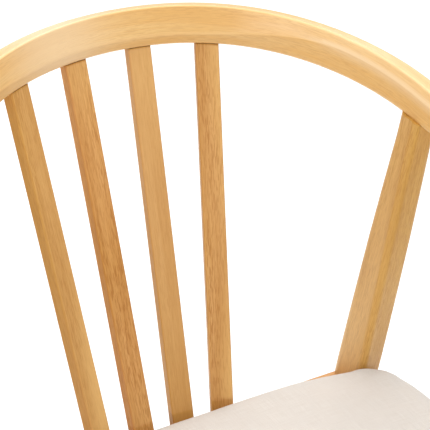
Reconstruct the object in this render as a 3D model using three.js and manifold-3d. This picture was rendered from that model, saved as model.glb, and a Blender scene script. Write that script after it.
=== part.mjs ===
// Wooden spindle-back armchair with an upholstered seat pad.
//
// One bent rail makes the back and both arms. It slopes down from the back to the arm ends, stands on two
// rear legs and two front legs, and holds four flat slats. A frame of four rails with glued corner blocks
// carries the seat pad.
//
// Millimetres. +Z is up, +X is the chair's left-to-right width, -Y is the front. The origin is on the floor,
// in the middle of the chair's footprint.

import * as THREE from 'three';
import { mergeVertices } from 'three/addons/utils/BufferGeometryUtils.js';
import Module from 'manifold-3d';

const wasm = await Module();
wasm.setup();

// ---------------------------------------------------------------- driving dimensions

const GAP = 0.3; // between touching pieces
const WELD = 0.001; // points closer than this are one

// The bent rail: a plan curve for the right half, mirrored for the left, in one sloping plane.
const RAIL = {
  backY: 257, // centre line at the middle of the back
  backZ: 783.5,
  slope: 0.277, // rise per millimetre towards the back
  backReach: 125, // how far the back runs nearly straight
  postX: 207, // centre line above the rear leg
  postY: 99,
  postReach: 77,
  postFlare: THREE.MathUtils.degToRad(10.5),
  armReach: 80,
  armX: 264, // centre line at the arm's end
  armY: -144,
  thick: 21.5,
  high: 32,
  edge: 7, // radius of its outer long edges
  lean: THREE.MathUtils.degToRad(15.6), // its inner face leans back like the slats
  leanLoss: THREE.MathUtils.degToRad(7 / 250), // per millimetre along the rail
  endRound: 9, // length of the arm's rounded end
  endInset: 6, // how far the section has drawn in at the arm's very end
};

// The inner face is two facets that meet in a soft ridge. Each value is for the back, then for the arms, and
// the section turns from one to the other between two stations.
const RIDGE = {
  turnFrom: 80,
  turnTo: 215,
  rise: [-7, 6], // above the section's middle
  round: [8, 3.5],
  topInset: [2.2, 3.4], // how far the upper facet leans outward at the rail's top
  topRound: [1.8, 2.8],
  bottomInset: [3.6, 0.5], // how far the lower facet draws in at the rail's underside
  bottomRound: [3.5, 5],
};
const ARM_JOINT = 62; // the arm's joint, this far along the rail past the rear leg
const DOWEL = { radius: 4, length: 36, spread: 7.5 };

const SLAT = {
  wide: 19.5,
  deep: 12.4,
  edge: 2,
  footX: [18.7, 56.7],
  alongRail: [29.7, 89.2],
  footY: 158.3,
  footZ: 430,
  tenonWide: 14,
  tenonDeep: 7.4,
  tenonEdge: 1,
  tenonTop: 11,
  tenonFoot: 24,
};

const GLIDE = { radius: 9, high: 2.7, pinRadius: 1.5, pinLong: 12 };
const LEG_FOOT_Z = 3;
const LEG_TENON = { radius: 6, length: 13 };
const REAR_LEG = {
  seat: new THREE.Vector3(200.2, 163.3, 448), // a point on its axis at seat height
  alongRail: -1.5, // its top stands this far along the rail from the curve's joint
  sections: [ // turned about the axis, in degrees: its faces twist above the seat to meet the rail squarely
    { z: LEG_FOOT_Z, wide: 22, deep: 22, edge: 5, turn: 18 },
    { z: 250, wide: 27.5, deep: 27.5, edge: 6, turn: 18 },
    { z: 400, wide: 30.8, deep: 30.8, edge: 6, turn: 18 },
    { z: 460, wide: 31.2, deep: 31.2, edge: 6, turn: 18 },
    { z: 530, wide: 29.8, deep: 29.8, edge: 6, turn: 14 },
    { z: 600, wide: 28.1, deep: 28.1, edge: 6, turn: 9 },
    { z: 670, wide: 25.4, deep: 25.4, edge: 6, turn: 4 },
    { z: 740, wide: 22.4, deep: 22.4, edge: 6, turn: 0 },
  ],
};
const FRONT_LEG = {
  foot: new THREE.Vector3(217, -268.4, 0),
  alongRailFromEnd: 44,
  sections: [
    { z: LEG_FOOT_Z, wide: 22, deep: 22, edge: 5, turn: 0 },
    { z: 250, wide: 27.5, deep: 27.5, edge: 6, turn: 0 },
    { z: 400, wide: 31, deep: 31, edge: 6, turn: 0 },
    { z: 450, wide: 31, deep: 31, edge: 6, turn: 0 },
    { z: 690, wide: 22.5, deep: 23.5, edge: 6, turn: 0 },
  ],
};

const FRAME = {
  top: 441,
  rearHigh: 50,
  sideHigh: 46,
  rearFront: 146, // Y of the rear rail's two faces
  rearBack: 174,
  rearHalf: 184.6,
  sideThick: 22,
  sideRearX: 203, // centre of the side rail at its rear end
  sideRearY: 158,
  sideFrontX: 225.1, // centre of the side rail at its front end
  sideFrontY: -228,
  frontThick: 22,
  cornerRound: 20,
  tenonThick: 8,
  tenonHigh: 34,
  tenonRear: 10.5,
  tenonSide: 15,
  tenonFront: 12,
  tenonRoot: 20, // how far the side rail's tenon starts inside the rail
  rearTenonBack: 6, // the rear rail's tenons sit this far behind its middle, clear of the side tenons
};
const BLOCK = {
  cross: 46,
  sideRear: 46,
  sideFront: 28,
  high: 34,
  tip: 9,
  screwFar: 0.72, // places of the screws, as fractions of its two sides
  screwNear: 0.36,
  seatScrew: 0.34,
  screwRise: 8, // of one screw above, and the other below, its mid-height
};
const SCREW_RECESS = 16; // the counterbore over a screw's head

const BLOCK_SCREW = { radius: 2, head: 3.8, length: 34, headHigh: 2.4 };
const SEAT_SCREW = { radius: 2.2, head: 4.4, length: 41, headHigh: 2.6 };
const LEG_BOLT = { radius: 3, head: 6.5, headHigh: 3.5, length: 39, rise: 12 };
const INSERT_NUT = { outer: 5, inner: 3.3, length: 14 };

// Half of the pad's outline: corner points from the middle of the rear edge to the middle of the front edge.
const PAD = {
  outline: [
    { x: 120, y: 152.9, round: 58 },
    { x: 208, y: 144, round: 30 },
    { x: 220.5, y: 95, round: 20 },
    { x: 229.4, y: -163, round: 30 },
    { x: 231.4, y: -246, round: 46 },
    { x: 100, y: -256, round: 70 },
  ],
  bottom: FRAME.top + GAP,
  edgeTop: 468,
  crown: 7,
  crownMargin: 15,
  underEdge: 4, // bevel of its lower edge
  skin: 1,
  boardThick: 9,
  boardMargin: 6.5,
  foamEdge: 0.5,
  opening: 28, // the cover's turned-under margin
  liningGap: 0.5, // between the cover's turned-under edge and the lining
};
const EDGE_ROUND = [[0, 9.5], [0.9, 5.6], [3, 2.9], [6.5, 1.1]]; // margin, and depth below the edge's top
const CROWN = [1, 0.82, 0.55, 0.25]; // the crown's rings, as fractions of the pad's plan

// How finely the pieces are drawn.
const STEPS = {
  arc: 2,
  legArc: 3,
  cornerArc: 5,
  wholeRail: 64,
  backRail: 46,
  arm: 9,
  armEnd: 4,
  pad: 72,
};
const SIDES = { rod: 10, tenon: 16, fastener: 8 };

// ---------------------------------------------------------------- materials

const material = {
  wood: new THREE.MeshStandardMaterial({ color: 0xd9a568, roughness: 0.42, metalness: 0 }),
  railWood: new THREE.MeshStandardMaterial({ color: 0xe6b878, roughness: 0.38, metalness: 0 }),
  plywood: new THREE.MeshStandardMaterial({ color: 0xcaa877, roughness: 0.7, metalness: 0 }),
  linen: new THREE.MeshStandardMaterial({ color: 0xece2d6, roughness: 0.95, metalness: 0 }),
  foam: new THREE.MeshStandardMaterial({ color: 0xf2e6b8, roughness: 1, metalness: 0 }),
  lining: new THREE.MeshStandardMaterial({ color: 0x2b2b2d, roughness: 1, metalness: 0 }),
  steel: new THREE.MeshStandardMaterial({ color: 0xb4b4b0, roughness: 0.35, metalness: 1 }),
  glide: new THREE.MeshStandardMaterial({ color: 0x8a6a48, roughness: 0.5, metalness: 0 }),
};

// ---------------------------------------------------------------- solids

const chair = new THREE.Group();

/** Adds a named piece to the chair. */
function addPiece(name, shape, look) {
  const geometry = shape.isBufferGeometry ? shape : toGeometry(shape);
  const mesh = new THREE.Mesh(geometry, look);
  mesh.name = name;
  chair.add(mesh);
}

/** The boolean solid of a closed geometry. */
function toSolid(geometry) {
  const bare = geometry.clone();
  bare.deleteAttribute('normal');
  bare.deleteAttribute('uv');
  const merged = mergeVertices(bare, WELD);
  const mesh = new wasm.Mesh({
    numProp: 3,
    vertProperties: new Float32Array(merged.attributes.position.array),
    triVerts: new Uint32Array(merged.index.array),
  });
  return new wasm.Manifold(mesh);
}

/** The geometry of a boolean solid. */
function toGeometry(solid) {
  const mesh = solid.getMesh();
  const geometry = new THREE.BufferGeometry();
  geometry.setAttribute('position', new THREE.BufferAttribute(new Float32Array(mesh.vertProperties), 3));
  geometry.setIndex(new THREE.BufferAttribute(new Uint32Array(mesh.triVerts), 1));
  geometry.computeVertexNormals();
  return geometry;
}

/** Cuts every tool out of a body. */
function cut(body, tools) {
  return tools.reduce((rest, tool) => rest.subtract(tool), body);
}

/** The same solid on the other side of the chair. */
function mirrored(solid) {
  return solid.mirror([1, 0, 0]);
}

/** A closed solid through equal rings of points, with flat ends. */
function loft(rings) {
  const count = rings[0].length;
  const centres = [rings[0], rings.at(-1)].map((ring) => (
    ring.reduce((sum, point) => sum.add(point), new THREE.Vector3()).divideScalar(count)
  ));
  const points = [...rings.flat(), ...centres];
  const firstCentre = rings.length * count;
  const index = [];
  for (let ring = 0; ring < rings.length - 1; ring += 1) {
    for (let i = 0; i < count; i += 1) {
      const here = ring * count + i;
      const next = ring * count + ((i + 1) % count);
      index.push(here, next, next + count);
      index.push(here, next + count, here + count);
    }
  }
  const last = (rings.length - 1) * count;
  for (let i = 0; i < count; i += 1) {
    const j = (i + 1) % count;
    index.push(firstCentre, j, i);
    index.push(firstCentre + 1, last + i, last + j);
  }
  const geometry = new THREE.BufferGeometry().setFromPoints(points);
  geometry.setIndex(signedVolume(points, index) > 0 ? index : index.reverse());
  return toSolid(geometry);
}

/** Positive when the triangles face out. */
function signedVolume(points, index) {
  let volume = 0;
  const normal = new THREE.Vector3();
  for (let i = 0; i < index.length; i += 3) {
    normal.crossVectors(points[index[i + 1]], points[index[i + 2]]);
    volume += points[index[i]].dot(normal);
  }
  return volume;
}

/** Evenly spaced numbers from one value to another. */
function spaced(from, to, steps) {
  return Array.from({ length: steps + 1 }, (_, i) => from + (to - from) * i / steps);
}

/** Points anticlockwise round a convex polygon whose corners are rounded, grown by a margin. */
function roundedPolygon(corners, grow, steps) {
  return corners.flatMap((corner, i) => {
    const here = new THREE.Vector2(corner.x, corner.y);
    const before = new THREE.Vector2().subVectors(corners.at(i - 1), here).normalize();
    const after = new THREE.Vector2().subVectors(corners[(i + 1) % corners.length], here).normalize();
    const halfAngle = Math.acos(before.dot(after)) / 2;
    const inward = new THREE.Vector2().addVectors(before, after).normalize();
    const centre = here.clone().addScaledVector(inward, corner.round / Math.sin(halfAngle));
    const first = before.angle() + Math.PI / 2;
    const turn = Math.PI - 2 * halfAngle;
    return spaced(first, first + turn, steps).map((angle) => {
      const direction = new THREE.Vector2(Math.cos(angle), Math.sin(angle));
      return centre.clone().addScaledVector(direction, corner.round + grow);
    });
  });
}

/** Points round a rectangle with rounded corners, centred on the origin. */
function roundedRectangle(wide, deep, round, grow = 0, steps = STEPS.arc) {
  const corners = [[1, 1], [-1, 1], [-1, -1], [1, -1]];
  const placed = corners.map(([signX, signY]) => ({ x: signX * wide / 2, y: signY * deep / 2, round }));
  return roundedPolygon(placed, grow, steps);
}

/** A prism over a plan outline, from one height to another. */
function prism(outline, low, high) {
  return loft([low, high].map((z) => outline.map((point) => new THREE.Vector3(point.x, point.y, z))));
}

/** A block by its lowest and highest corners. */
function block(low, high) {
  const size = new THREE.Vector3().subVectors(high, low);
  const box = new THREE.BoxGeometry(size.x, size.y, size.z);
  box.translate((low.x + high.x) / 2, (low.y + high.y) / 2, (low.z + high.z) / 2);
  return toSolid(box);
}

const LATHE_AXIS = new THREE.Vector3(0, 1, 0);

/** A turned piece: a profile of [radius, height] pairs about an axis that starts at a point. */
function turned(profile, start, direction, sides = SIDES.rod) {
  const lathe = new THREE.LatheGeometry(profile.map(([r, h]) => new THREE.Vector2(r, h)), sides);
  const turn = new THREE.Quaternion().setFromUnitVectors(LATHE_AXIS, direction.clone().normalize());
  lathe.applyQuaternion(turn);
  lathe.translate(start.x, start.y, start.z);
  return toSolid(lathe);
}

/** A plain rod from a point along a direction. */
function rod(radius, length, start, direction, sides = SIDES.rod) {
  return turned([[0, 0], [radius, 0], [radius, length], [0, length]], start, direction, sides);
}

// ---------------------------------------------------------------- the bent rail

const railPlan = new THREE.CurvePath();
const flare = new THREE.Vector2(Math.sin(RAIL.postFlare), -Math.cos(RAIL.postFlare));
const postPlan = new THREE.Vector2(RAIL.postX, RAIL.postY);
railPlan.add(new THREE.CubicBezierCurve(
  new THREE.Vector2(0, RAIL.backY),
  new THREE.Vector2(RAIL.backReach, RAIL.backY),
  postPlan.clone().addScaledVector(flare, -RAIL.postReach),
  postPlan,
));
railPlan.add(new THREE.CubicBezierCurve(
  postPlan,
  postPlan.clone().addScaledVector(flare, RAIL.armReach),
  new THREE.Vector2(RAIL.armX, RAIL.armY + RAIL.armReach),
  new THREE.Vector2(RAIL.armX, RAIL.armY),
));
const [postStation, railEnd] = railPlan.getCurveLengths();

/** The rail's centre, outward normal and lean at a distance along it from the middle of the back. */
function railAt(station) {
  const side = Math.sign(station) || 1;
  const t = Math.abs(station) / railEnd;
  const plan = railPlan.getPoint(t);
  const along = railPlan.getTangent(t);
  return {
    centre: new THREE.Vector3(side * plan.x, plan.y, RAIL.backZ + RAIL.slope * (plan.y - RAIL.backY)),
    along: new THREE.Vector3(side * along.x, along.y, RAIL.slope * along.y).normalize(),
    outward: new THREE.Vector3(-side * along.y, along.x, 0),
    lean: RAIL.lean - RAIL.leanLoss * Math.abs(station),
  };
}

/** A point of the rail's section: r outward and z up before it leans. */
function railPoint(station, r, z) {
  const { centre, outward, lean } = railAt(station);
  const out = r * Math.cos(lean) + z * Math.sin(lean);
  const up = z * Math.cos(lean) - r * Math.sin(lean);
  return centre.addScaledVector(outward, out).add(new THREE.Vector3(0, 0, up));
}

/** A sweep along the rail's curve, of the section that each station gives. */
function railSweep(stations, sectionAt) {
  return loft(stations.map((station) => (
    sectionAt(station).map((point) => railPoint(station, point.x, point.y))
  )));
}

/** The corners of the rail's section at a station, from its outer top over the ridge to its underside. */
function railCorners(station) {
  const turn = THREE.MathUtils.smoothstep(Math.abs(station), RIDGE.turnFrom, RIDGE.turnTo);
  const at = ([back, arm]) => THREE.MathUtils.lerp(back, arm, turn);
  const outer = RAIL.thick / 2;
  const top = RAIL.high / 2;
  return [
    { x: outer, y: top, round: RAIL.edge },
    { x: -outer + at(RIDGE.topInset), y: top, round: at(RIDGE.topRound) },
    { x: -outer, y: at(RIDGE.rise), round: at(RIDGE.round) },
    { x: -outer + at(RIDGE.bottomInset), y: -top, round: at(RIDGE.bottomRound) },
    { x: outer, y: -top, round: RAIL.edge },
  ];
}

/** The rail through stations. Inset draws the section in near a rounded end. */
function railSolid(stations, grow = 0, inset = () => 0) {
  return railSweep(stations, (station) => {
    const margin = 2 * inset(station);
    const squeeze = new THREE.Vector2(1 - margin / RAIL.thick, 1 - margin / RAIL.high);
    return roundedPolygon(railCorners(station), grow, STEPS.arc).map((point) => point.multiply(squeeze));
  });
}

const jointStation = postStation + ARM_JOINT;
const railStations = spaced(-railEnd, railEnd, STEPS.wholeRail);
const railSpace = railSolid(railStations, GAP);

// The space over the rail's underside, wider than the rail: it trims what would stand up beside the rail.
const OVERHEAD = { side: 8, rise: 2.5, above: 20 };
const overheadSpace = railSweep(railStations, () => {
  const half = RAIL.thick / 2 + OVERHEAD.side;
  const low = -RAIL.high / 2 + OVERHEAD.rise;
  const high = RAIL.high / 2 + OVERHEAD.above;
  return [[half, low], [half, high], [-half, high], [-half, low]].map(([r, z]) => new THREE.Vector2(r, z));
});

/** How far the section draws in at a station close to the arm's rounded end. */
function armEndInset(station) {
  const past = station - (railEnd - RAIL.endRound);
  if (past <= 0) {
    return 0;
  }
  const left = Math.min(past / RAIL.endRound, 1);
  return RAIL.endInset * (1 - Math.sqrt(1 - left * left));
}

const armStations = [
  ...spaced(jointStation + GAP, railEnd - RAIL.endRound, STEPS.arm),
  ...spaced(railEnd - RAIL.endRound, railEnd, STEPS.armEnd).slice(1),
];

/** The dowels, or their holes, that join an arm to the back rail. */
function armDowels(grow) {
  const { along } = railAt(jointStation);
  const reach = DOWEL.length / 2 + grow;
  return [-DOWEL.spread, DOWEL.spread].map((offset) => {
    const middle = railPoint(jointStation + GAP / 2, 0, offset);
    return rod(DOWEL.radius + grow, 2 * reach, middle.addScaledVector(along, -reach), along);
  });
}

// ---------------------------------------------------------------- slats

/** A slat's axis: its foot on the rear rail and its top in the middle of the bent rail. */
function slatAxis(position, side) {
  const station = side * SLAT.alongRail[position];
  const under = railPoint(station, 0, -RAIL.high / 2);
  const foot = new THREE.Vector3(side * SLAT.footX[position], SLAT.footY, SLAT.footZ);
  const { along } = railAt(station);
  return { foot, under, yaw: Math.atan2(side * along.y, side * along.x) };
}

const ORIGIN = new THREE.Vector2();

/** A straight bar between two heights on a slat's axis, turned to the rail. */
function slatBar(axis, wide, deep, edge, low, high) {
  const slope = new THREE.Vector3().subVectors(axis.under, axis.foot);
  slope.divideScalar(slope.z);
  const section = roundedRectangle(wide, deep, edge);
  return loft([low, high].map((z) => {
    const centre = axis.foot.clone().addScaledVector(slope, z - axis.foot.z);
    return section.map((point) => {
      const turnedPoint = point.clone().rotateAround(ORIGIN, axis.yaw);
      return centre.clone().add(new THREE.Vector3(turnedPoint.x, turnedPoint.y, 0));
    });
  }));
}

/** A slat's two tenons as one bar, or the bar that cuts their mortises. */
function slatTenons(axis, grow) {
  const low = FRAME.top - SLAT.tenonFoot - grow;
  const high = axis.under.z + SLAT.tenonTop + grow;
  const wide = SLAT.tenonWide + 2 * grow;
  const deep = SLAT.tenonDeep + 2 * grow;
  return slatBar(axis, wide, deep, SLAT.tenonEdge + grow, low, high);
}

const slats = [[1, -1], [0, -1], [0, 1], [1, 1]].map(([position, side]) => {
  const axis = slatAxis(position, side);
  const body = slatBar(axis, SLAT.wide, SLAT.deep, SLAT.edge, FRAME.top + GAP, axis.under.z + RAIL.high / 2);
  return {
    solid: cut(body, [railSpace]).add(slatTenons(axis, 0)),
    mortise: slatTenons(axis, GAP),
  };
});

// ---------------------------------------------------------------- legs

/** A leg's axis through two points, as a function of height. */
function legAxis(low, high) {
  const slope = new THREE.Vector3().subVectors(high, low);
  slope.divideScalar(slope.z);
  return (z) => low.clone().addScaledVector(slope, z - low.z);
}

/** A leg through its sections, all on one leaning axis. */
function legBody(axis, sections, grow = 0) {
  return loft(sections.map(({ z, wide, deep, edge, turn }) => {
    const centre = axis(z);
    const angle = THREE.MathUtils.degToRad(turn);
    return roundedRectangle(wide, deep, edge, grow, STEPS.legArc).map((point) => {
      point.rotateAround(ORIGIN, angle);
      return new THREE.Vector3(centre.x + point.x, centre.y + point.y, z);
    });
  }));
}

/** The round tenon on a leg's top, or its hole in the rail. */
function legTenon(axis, under, grow) {
  const along = new THREE.Vector3().subVectors(axis(under.z + 1), axis(under.z)).normalize();
  const start = axis(under.z).addScaledVector(along, -LEG_TENON.length);
  return rod(LEG_TENON.radius + grow, 2 * LEG_TENON.length + grow, start, along, SIDES.tenon);
}

/** The pin hole under a leg. */
function glidePinHole(foot) {
  const start = new THREE.Vector3(foot.x, foot.y, 0);
  return rod(GLIDE.pinRadius + GAP, GLIDE.pinLong + GAP, start, UP, SIDES.fastener);
}

const UP = new THREE.Vector3(0, 0, 1);
const rearUnder = railPoint(postStation + REAR_LEG.alongRail, 0, -RAIL.high / 2);
const rearAxis = legAxis(REAR_LEG.seat, rearUnder);
const frontUnder = railPoint(railEnd - FRONT_LEG.alongRailFromEnd, 0, -RAIL.high / 2);
const frontAxis = legAxis(FRONT_LEG.foot, frontUnder);

// ---------------------------------------------------------------- seat frame

const sideRear = new THREE.Vector2(FRAME.sideRearX, FRAME.sideRearY);
const sideFront = new THREE.Vector2(FRAME.sideFrontX, FRAME.sideFrontY);
const sideAlong = new THREE.Vector2().subVectors(sideFront, sideRear).normalize();
const sideOut = new THREE.Vector2(-sideAlong.y, sideAlong.x);

/** A plan point of the right side rail: a distance from its front end, and an offset outward. */
function sidePoint(fromFront, out) {
  return sideFront.clone().addScaledVector(sideAlong, -fromFront).addScaledVector(sideOut, out);
}

/** The right side rail's plan outline, with its front outer corner rounded. */
function sideOutline(grow) {
  const half = FRAME.sideThick / 2 + grow;
  const length = sideRear.distanceTo(sideFront);
  const radius = FRAME.cornerRound;
  const centre = sidePoint(radius, half - radius);
  const arc = spaced(0, Math.PI / 2, STEPS.cornerArc).map((angle) => (
    centre.clone()
      .addScaledVector(sideAlong, radius * Math.cos(angle))
      .addScaledVector(sideOut, radius * Math.sin(angle))
  ));
  return [sidePoint(length, half), sidePoint(length, -half), sidePoint(0, -half), ...arc];
}

const sideLow = FRAME.top - FRAME.sideHigh;
const sideFrontRailY = FRAME.sideFrontY + FRAME.frontThick / 2;
const tenonLow = FRAME.top - (FRAME.sideHigh + FRAME.tenonHigh) / 2;
const tenonHigh = tenonLow + FRAME.tenonHigh;

/** The tenon of the right side rail in the rear leg, or its mortise. */
function sideTenon(grow) {
  const half = FRAME.tenonThick / 2 + grow;
  const length = sideRear.distanceTo(sideFront);
  const ends = [length - FRAME.tenonRoot, length + FRAME.tenonSide + grow];
  const outline = [
    sidePoint(ends[0], -half), sidePoint(ends[0], half), sidePoint(ends[1], half), sidePoint(ends[1], -half),
  ];
  return prism(outline, tenonLow - grow, tenonHigh + grow);
}

/** A tenon on both ends of a rail that runs across the chair, or its mortises. */
function crossTenon(halfLength, y, grow) {
  const half = FRAME.tenonThick / 2 + grow;
  return block(
    new THREE.Vector3(-halfLength - grow, y - half, tenonLow - grow),
    new THREE.Vector3(halfLength + grow, y + half, tenonHigh + grow),
  );
}

const rearTenonY = (FRAME.rearFront + FRAME.rearBack) / 2 + FRAME.rearTenonBack;
const frontInnerX = sidePoint(FRAME.frontThick / 2, -FRAME.sideThick / 2).x;
const rearTenonHalf = FRAME.rearHalf + FRAME.tenonRear;
const frontTenonHalf = frontInnerX + FRAME.tenonFront;

// ---------------------------------------------------------------- corner blocks and fasteners

/** A screw or bolt with a flat head, driven from a point along a direction, or its stepped hole. */
function fastener(size, start, direction, grow = 0, recess = 0) {
  const head = size.head + grow;
  const shank = size.radius + grow;
  const profile = [
    [0, -size.headHigh - recess], [head, -size.headHigh - recess],
    [head, grow], [shank, grow], [shank, size.length + grow], [0, size.length + grow],
  ];
  return turned(profile, start, direction, SIDES.fastener);
}

/** One corner block in a corner of the frame, with where its screws start and the way they are driven. */
function cornerBlock(corner, alongCross, alongSide, crossOut, sideLength) {
  const at = (a, b) => corner.clone().addScaledVector(alongCross, a).addScaledVector(alongSide, b);
  const outline = [
    at(GAP, GAP), at(BLOCK.cross, GAP), at(BLOCK.cross, BLOCK.tip),
    at(BLOCK.tip, sideLength), at(GAP, sideLength),
  ];
  const low = FRAME.top - BLOCK.high;
  const raise = (point, z) => new THREE.Vector3(point.x, point.y, z);
  const level = (vector) => new THREE.Vector3(vector.x, vector.y, 0);
  const screwZ = low + BLOCK.high / 2;
  const atFraction = (a, b, z) => raise(at(BLOCK.cross * a, sideLength * b), z);
  const crossStart = atFraction(BLOCK.screwFar, BLOCK.screwNear, screwZ - BLOCK.screwRise);
  const sideStart = atFraction(BLOCK.screwNear, BLOCK.screwFar, screwZ + BLOCK.screwRise);
  const seatStart = atFraction(BLOCK.seatScrew, BLOCK.seatScrew, low);
  return {
    solid: prism(outline, low, FRAME.top),
    blockScrews: [
      { start: crossStart, direction: level(crossOut) },
      { start: sideStart, direction: level(alongCross).negate() },
    ],
    seatScrew: { start: seatStart, direction: UP },
  };
}

const sideInnerAt = (y) => {
  const fromFront = (y - FRAME.sideFrontY) / -sideAlong.y;
  return sidePoint(fromFront, -FRAME.sideThick / 2).x;
};
const rearCorner = new THREE.Vector2(sideInnerAt(FRAME.rearFront), FRAME.rearFront);
const frontFaceY = FRAME.sideFrontY + FRAME.frontThick;
const frontCorner = new THREE.Vector2(sideInnerAt(frontFaceY), frontFaceY);
const inward = new THREE.Vector2(-1, 0);
const blocks = [
  cornerBlock(rearCorner, inward, sideAlong, new THREE.Vector2(0, 1), BLOCK.sideRear),
  cornerBlock(frontCorner, inward, sideAlong.clone().negate(), new THREE.Vector2(0, -1), BLOCK.sideFront),
];

/** Solids of a kind of screw in the right half's blocks. */
function blockFasteners(pick, size, grow = 0, recess = 0) {
  return blocks.flatMap(pick).map(({ start, direction }) => fastener(size, start, direction, grow, recess));
}

const pickBlockScrews = (corner) => corner.blockScrews;
const pickSeatScrew = (corner) => [corner.seatScrew];
const blockScrewHoles = blockFasteners(pickBlockScrews, BLOCK_SCREW, GAP, SCREW_RECESS);
const seatScrewHoles = blockFasteners(pickSeatScrew, SEAT_SCREW, GAP, SCREW_RECESS);

/** The bolts that hold the right front leg, from inside the side rail. */
const boltMiddleZ = FRAME.top - FRAME.sideHigh / 2;
const boltDirection = new THREE.Vector3(sideOut.x, sideOut.y, 0);
const boltStarts = [-LEG_BOLT.rise, LEG_BOLT.rise].map((rise) => {
  const legY = frontAxis(boltMiddleZ + rise).y;
  const fromFront = (legY - FRAME.sideFrontY) / -sideAlong.y;
  const start = sidePoint(fromFront, -FRAME.sideThick / 2 - GAP);
  return new THREE.Vector3(start.x, start.y, boltMiddleZ + rise);
});
const legBolts = boltStarts.map((start) => fastener(LEG_BOLT, start, boltDirection));
const boltHoles = boltStarts.map((start) => fastener(LEG_BOLT, start, boltDirection, GAP, SCREW_RECESS));
const nutStart = (start) => start.clone().addScaledVector(boltDirection, LEG_BOLT.length - INSERT_NUT.length);
const nutHoles = boltStarts.map((start) => (
  rod(INSERT_NUT.outer + GAP, INSERT_NUT.length + 2 * GAP, nutStart(start), boltDirection)
));
const insertNuts = boltStarts.map((start) => turned(
  [
    [INSERT_NUT.inner, 0], [INSERT_NUT.outer, 0], [INSERT_NUT.outer, INSERT_NUT.length],
    [INSERT_NUT.inner, INSERT_NUT.length], [INSERT_NUT.inner, 0],
  ],
  nutStart(start).addScaledVector(boltDirection, GAP),
  boltDirection,
));

// ---------------------------------------------------------------- seat pad

/** The pad's whole outline, its corners rounded, as evenly spaced points. */
function padOutline(count) {
  const right = PAD.outline;
  const left = right.map((corner) => ({ ...corner, x: -corner.x })).reverse();
  const corners = [...right, ...left];
  const shape = new THREE.Path();
  const towards = (from, to, distance) => {
    const start = new THREE.Vector2(from.x, from.y);
    const end = new THREE.Vector2(to.x, to.y);
    return start.addScaledVector(end.sub(start).normalize(), distance);
  };
  corners.forEach((corner, i) => {
    const before = towards(corner, corners.at(i - 1), corner.round);
    const after = towards(corner, corners[(i + 1) % corners.length], corner.round);
    if (i === 0) {
      shape.moveTo(before.x, before.y);
    } else {
      shape.lineTo(before.x, before.y);
    }
    shape.quadraticCurveTo(corner.x, corner.y, after.x, after.y);
  });
  shape.closePath();
  return shape.getSpacedPoints(count).slice(0, count);
}

const outline = padOutline(STEPS.pad);

/** The outline drawn in by a margin, at one height. */
function padRing(margin, z) {
  return outline.map((point, i) => {
    const before = outline.at(i - 1);
    const after = outline[(i + 1) % outline.length];
    const along = new THREE.Vector2().subVectors(after, before).normalize();
    return new THREE.Vector3(point.x + margin * along.y, point.y - margin * along.x, z);
  });
}

/** The outline drawn towards the pad's middle by a factor, raised by the crown. */
function crownRing(factor, drop) {
  const z = PAD.edgeTop - drop + PAD.crown * (1 - factor * factor);
  return padRing(PAD.crownMargin, z).map((point) => new THREE.Vector3(point.x * factor, point.y * factor, z));
}

/** The pad's outer shape from a height up, drawn in by a margin all round. */
function padSolid(bottom, skin, bottomMargin) {
  const sides = [padRing(bottomMargin + skin, bottom), padRing(skin, bottom + bottomMargin)];
  const shoulder = EDGE_ROUND.map(([margin, depth]) => padRing(margin + skin, PAD.edgeTop - skin - depth));
  const top = CROWN.map((factor) => crownRing(factor, skin));
  return loft([...sides, ...shoulder, ...top]);
}

const boardBottom = PAD.bottom + PAD.skin + GAP;
const boardTop = boardBottom + PAD.boardThick;
const padOutside = padSolid(PAD.bottom, 0, PAD.underEdge);
const padInside = padSolid(PAD.bottom + PAD.skin, PAD.skin, PAD.underEdge);
const foamShape = padSolid(boardTop + GAP, PAD.skin + GAP, PAD.foamEdge);
const coverOpening = prism(padRing(PAD.opening, 0), PAD.bottom - PAD.skin, boardBottom);
const boardShape = prism(padRing(PAD.boardMargin, 0), boardBottom, boardTop);
const liningShape = prism(padRing(PAD.opening + PAD.liningGap, 0), PAD.bottom + GAP, PAD.bottom + PAD.skin);

// ---------------------------------------------------------------- assembly

/** Adds a right-hand piece and its mirrored left-hand twin. */
function addPair(name, solid, look) {
  addPiece(`${name}_right`, solid, look);
  addPiece(`${name}_left`, mirrored(solid), look);
}

/** Solids together with their mirrored twins. */
function bothSides(solids) {
  return [...solids, ...solids.map(mirrored)];
}

/** Adds the same kind of piece on both sides, numbered. */
function addSet(name, solids, look) {
  bothSides(solids).forEach((solid, i) => addPiece(`${name}_${i + 1}`, solid, look));
}

const backRail = railSolid(spaced(-jointStation, jointStation, STEPS.backRail));
addPiece('back_rail', cut(backRail, [
  ...slats.map((slat) => slat.mortise),
  ...bothSides([...armDowels(GAP), legTenon(rearAxis, rearUnder, GAP)]),
]), material.railWood);
addPair('arm', cut(railSolid(armStations, 0, armEndInset), [
  ...armDowels(GAP), legTenon(frontAxis, frontUnder, GAP),
]), material.railWood);
addSet('arm_dowel', armDowels(0), material.wood);
slats.forEach((slat, i) => addPiece(`slat_${i + 1}`, slat.solid, material.wood));

const rearLegTools = [
  railSpace, overheadSpace, sideTenon(GAP), crossTenon(rearTenonHalf, rearTenonY, GAP),
  glidePinHole(rearAxis(0)),
];
const rearLeg = cut(legBody(rearAxis, REAR_LEG.sections), rearLegTools);
addPair('rear_leg', rearLeg.add(legTenon(rearAxis, rearUnder, 0)), material.wood);

const sideRailSpace = prism(sideOutline(GAP), sideLow - GAP, FRAME.top + GAP);
const frontLegTools = [
  railSpace, overheadSpace, sideRailSpace, ...boltHoles, ...nutHoles, glidePinHole(frontAxis(0)),
];
const frontLeg = cut(legBody(frontAxis, FRONT_LEG.sections), frontLegTools);
addPair('front_leg', frontLeg.add(legTenon(frontAxis, frontUnder, 0)), material.wood);

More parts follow.
